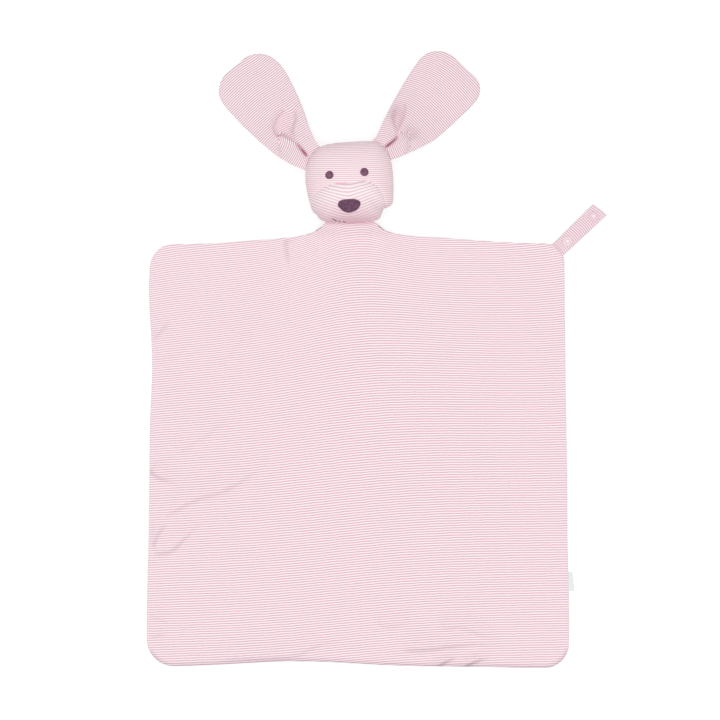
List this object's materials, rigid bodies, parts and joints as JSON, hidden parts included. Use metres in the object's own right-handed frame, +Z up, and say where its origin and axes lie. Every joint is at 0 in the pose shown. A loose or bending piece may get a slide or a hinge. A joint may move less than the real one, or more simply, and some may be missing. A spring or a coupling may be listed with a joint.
{
  "type": "comfort blanket lovey",
  "caption": "Baby's comfort blanket: a square double layer of striped jersey with a stuffed animal head, flat paddle ears and a corner strap that closes on a press stud.",
  "frame": {"origin": "middle of the blanket's flat underside", "axes": "+X to the viewer's right, +Y from the blanket towards the head, +Z up out of the face, with the lovey lying on its back"},
  "size_m": [0.4114, 0.553, 0.0536],
  "materials": {
    "striped_jersey": "soft cotton jersey with fine pink and white stripes",
    "plum_thread": "satin stitched embroidery",
    "sewing_thread": "twisted sewing thread",
    "filling": "white polyester fibre",
    "press_stud": "satin white plastic",
    "ribbon": "plain white satin ribbon"
  },
  "bodies": {
    "blanket": {"blanket_front": "striped_jersey", "blanket_back": "striped_jersey", "neck_front": "striped_jersey", "neck_back": "striped_jersey", "strap_root": "striped_jersey", "strap_seam_cloth": "striped_jersey", "label_root": "ribbon"},
    "head": {"face_panel": "striped_jersey", "muzzle_panel": "striped_jersey", "head_back_left": "striped_jersey", "head_back_right": "striped_jersey", "head_stuffing": "filling", "left_eye": "plum_thread", "right_eye": "plum_thread", "nose": "plum_thread", "closing_stitches": "sewing_thread", "ear_left_pleat": "striped_jersey", "ear_right_pleat": "striped_jersey"},
    "ear_left": {"ear_left_front": "striped_jersey", "ear_left_back": "striped_jersey"},
    "ear_right": {"ear_right_front": "striped_jersey", "ear_right_back": "striped_jersey"},
    "strap_base": {"strap_base": "striped_jersey", "strap_fold_cloth": "striped_jersey", "snap_stud": "press_stud", "snap_stud_cap": "press_stud"},
    "strap_tip": {"strap_tip": "striped_jersey", "snap_socket": "press_stud", "snap_socket_cap": "press_stud"},
    "side_label": {"side_label": "ribbon"}
  },
  "joints": [
    {"name": "neck_nod", "type": "hinge", "parent": "blanket", "child": "head", "pos_m": [-0.007, 0.2035, 0.01], "axis": [1, 0, 0], "range_deg": [-75, 105], "deforming": ["neck_front", "neck_back"]},
    {"name": "ear_left_flop", "type": "hinge", "parent": "head", "child": "ear_left", "pos_m": [-0.04527, 0.27368, 0.0155], "axis": [0.7638, 0.6455, 0], "range_deg": [-75, 90], "deforming": ["ear_left_pleat"]},
    {"name": "ear_right_flop", "type": "hinge", "parent": "head", "child": "ear_right", "pos_m": [0.02582, 0.28057, 0.0155], "axis": [0.7266, -0.6871, 0], "range_deg": [-75, 90], "deforming": ["ear_right_pleat"]},
    {"name": "strap_flop", "type": "hinge", "parent": "blanket", "child": "strap_base", "pos_m": [0.18224, 0.1872, 0.0033], "axis": [0.6909, -0.723, 0], "range_deg": [-80, 60], "deforming": ["strap_seam_cloth"]},
    {"name": "strap_fold", "type": "hinge", "parent": "strap_base", "child": "strap_tip", "pos_m": [0.20035, 0.20451, 0.00635], "axis": [0.6909, -0.723, 0], "range_deg": [0, 180], "deforming": ["strap_fold_cloth"]},
    {"name": "label_flop", "type": "hinge", "parent": "blanket", "child": "side_label", "pos_m": [0.18929, -0.113, 0.0029], "axis": [0, -1, 0], "range_deg": [-80, 80]}
  ]
}
